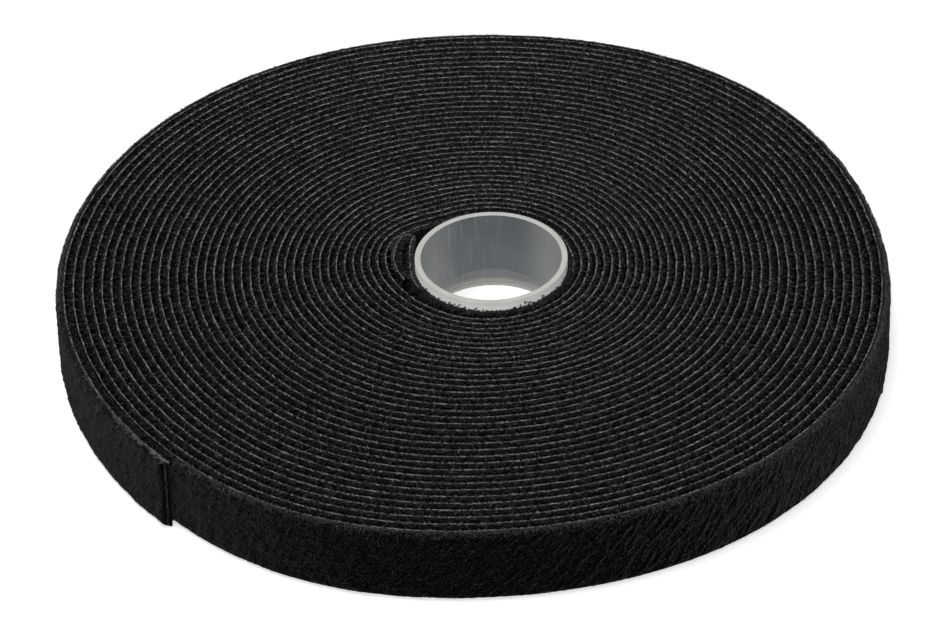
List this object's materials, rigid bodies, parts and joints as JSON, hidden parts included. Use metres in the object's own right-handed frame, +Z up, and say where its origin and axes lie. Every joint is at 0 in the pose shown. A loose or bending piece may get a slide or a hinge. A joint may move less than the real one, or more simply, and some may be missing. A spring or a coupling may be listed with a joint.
{
  "type": "hook and loop tape roll",
  "caption": "Flat roll of hook and loop tape, bonded back to back and wound on a plain plastic core, with a folded inner end and a square-cut outer end that peels off the roll.",
  "frame": {"origin": "middle of the roll's outline, on the surface that the roll lies on", "axes": "+Z up, along the core's axis; -Y towards the viewer and +X to the viewer's right in the picture"},
  "size_m": [0.207, 0.2046, 0.022],
  "materials": {
    "core_plastic": "pale translucent grey, extruded, with fine scuffs along the bore",
    "hook_nylon": "black woven nylon with a field of small stiff hooks",
    "loop_pile": "black brushed nylon pile, soft and matte with a pale sheen at grazing light"
  },
  "bodies": {
    "roll": {"core_tube": "core_plastic", "hook_tape": "hook_nylon", "loop_tape": "loop_pile"},
    "tape_end": {"hook_tape_end": "hook_nylon", "loop_tape_end": "loop_pile"}
  },
  "joints": [
    {"name": "tape_end_peel", "type": "hinge", "parent": "roll", "child": "tape_end", "pos_m": [-0.10077, -0.02538, 0.01], "axis": [0, 0, -1], "range_deg": [0, 90]}
  ]
}
